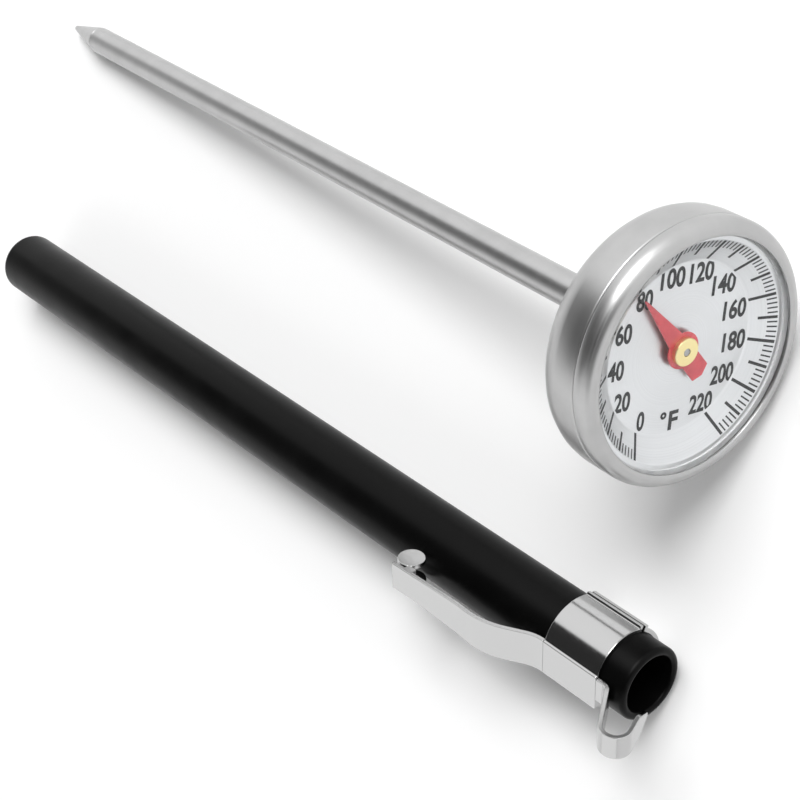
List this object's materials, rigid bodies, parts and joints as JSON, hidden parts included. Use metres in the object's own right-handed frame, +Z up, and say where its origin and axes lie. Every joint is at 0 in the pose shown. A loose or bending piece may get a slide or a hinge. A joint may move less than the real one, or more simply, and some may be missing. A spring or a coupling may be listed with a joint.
{
  "type": "pocket dial thermometer",
  "caption": "Bimetal dial thermometer: a pointed probe stem, a round head with a recessed dial and red pointer, and its black sheath with a sprung chrome pocket clip.",
  "frame": {"origin": "on the surface that the thermometer and its sheath lie on, under the middle of the whole layout", "axes": "+Z up; +X along the layout, from the stem's point towards the dial; +Y from the sheath towards the thermometer"},
  "size_m": [0.1378, 0.0504, 0.027],
  "materials": {
    "steel_satin": "satin drawn stainless steel",
    "dial_aluminium": "fine brushed, black printed scale",
    "lens_clear": "clear polished window",
    "pointer_red": "red lacquer",
    "hub_brass": "pale polished brass",
    "guide_brass": "turned",
    "wire_steel": "ground spring steel",
    "coil_bimetal": "rolled bimetal strip",
    "gasket_silicone": "pale, matt",
    "spacer_plastic": "matt",
    "sheath_plastic": "black, satin moulded",
    "clip_chrome": "bright polished"
  },
  "bodies": {
    "stem": {"stem_tube": "steel_satin", "stem_tip": "steel_satin", "coil_anchor": "wire_steel", "bimetal_coil": "coil_bimetal", "lower_staff_guide": "guide_brass", "upper_staff_guide": "guide_brass", "calibration_nut": "steel_satin", "spring_washer": "wire_steel", "stem_flange": "wire_steel"},
    "head": {"case_cup": "steel_satin", "bezel_ring": "steel_satin", "case_bushing": "guide_brass", "lens": "lens_clear", "lens_gasket": "gasket_silicone", "dial_plate": "dial_aluminium", "dial_spacer": "spacer_plastic"},
    "pointer_assembly": {"pointer": "pointer_red", "pointer_hub": "hub_brass", "pointer_staff": "wire_steel", "coil_collar": "guide_brass"},
    "sheath": {"sheath_tube": "sheath_plastic", "clip_band": "clip_chrome", "clip_hook": "clip_chrome"},
    "clip_arm": {"clip_arm": "clip_chrome"}
  },
  "joints": [
    {"name": "calibration_turn", "type": "hinge", "parent": "stem", "child": "head", "pos_m": [0.05146, 0.01179, 0.01301], "axis": [-0.9951, 0, -0.0988], "range_deg": [-30, 30]},
    {"name": "pointer_sweep", "type": "hinge", "parent": "stem", "child": "pointer_assembly", "pos_m": [0.05663, 0.01179, 0.01352], "axis": [-0.9951, 0, -0.0988], "range_deg": [-107.7, 192.3], "stiffness_Nm_per_rad": 0.00063},
    {"name": "sheath_draw", "type": "slide", "parent": "stem", "child": "sheath", "axis": [-1, -0.0087, -0.0048], "range_m": [0, 0.13]},
    {"name": "clip_flex", "type": "hinge", "parent": "sheath", "child": "clip_arm", "pos_m": [0.05402, -0.02156, 0.00831], "axis": [-0.0099, 0.8386, 0.5446], "range_deg": [0, 8], "stiffness_Nm_per_rad": 1.1}
  ]
}
